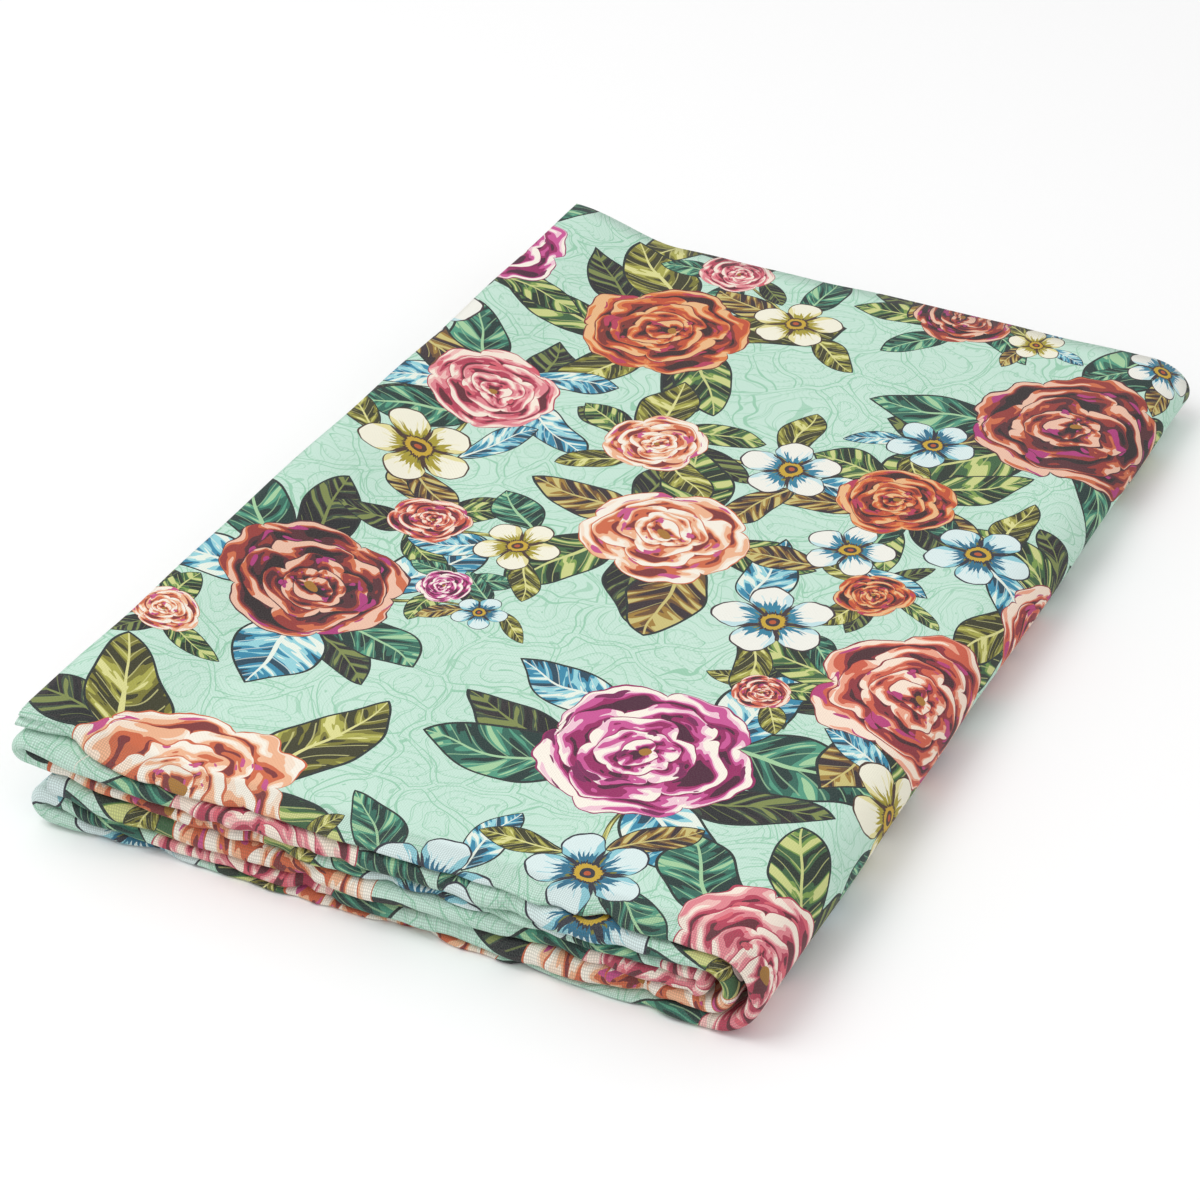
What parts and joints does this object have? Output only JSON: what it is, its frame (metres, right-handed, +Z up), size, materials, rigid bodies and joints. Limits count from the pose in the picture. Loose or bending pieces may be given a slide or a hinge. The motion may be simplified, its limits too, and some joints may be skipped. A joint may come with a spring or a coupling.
{
  "type": "folded fabric length",
  "caption": "Flat packet of printed cotton cloth, folded in four across its width and then leaf on leaf along its length; the top leaf turns over.",
  "frame": {"origin": "centre of the packet's footprint, on the surface it lies on", "axes": "+X along the front fold towards the nested right-hand folds, +Y from the front fold to the back edge, +Z up through the stack"},
  "size_m": [0.225, 0.35, 0.04],
  "materials": {
    "printed_cotton": "matte plain weave with a floral print on a pale green ground"
  },
  "bodies": {
    "folded_stack": {"bottom_leaf": "printed_cotton", "fifth_leaf": "printed_cotton", "fourth_leaf": "printed_cotton", "third_leaf": "printed_cotton", "second_leaf": "printed_cotton", "outer_right_turn": "printed_cotton", "middle_right_turn": "printed_cotton", "inner_right_turn": "printed_cotton", "lower_left_turn": "printed_cotton", "upper_left_turn": "printed_cotton"},
    "turned_leaf": {"top_leaf": "printed_cotton"}
  },
  "joints": [
    {"name": "top_leaf_turn", "type": "hinge", "parent": "folded_stack", "child": "turned_leaf", "pos_m": [0.11125, 0, 0.01222], "axis": [0, 0.9999, -0.0133], "range_deg": [0, 176], "deforming": ["outer_right_turn"]}
  ]
}
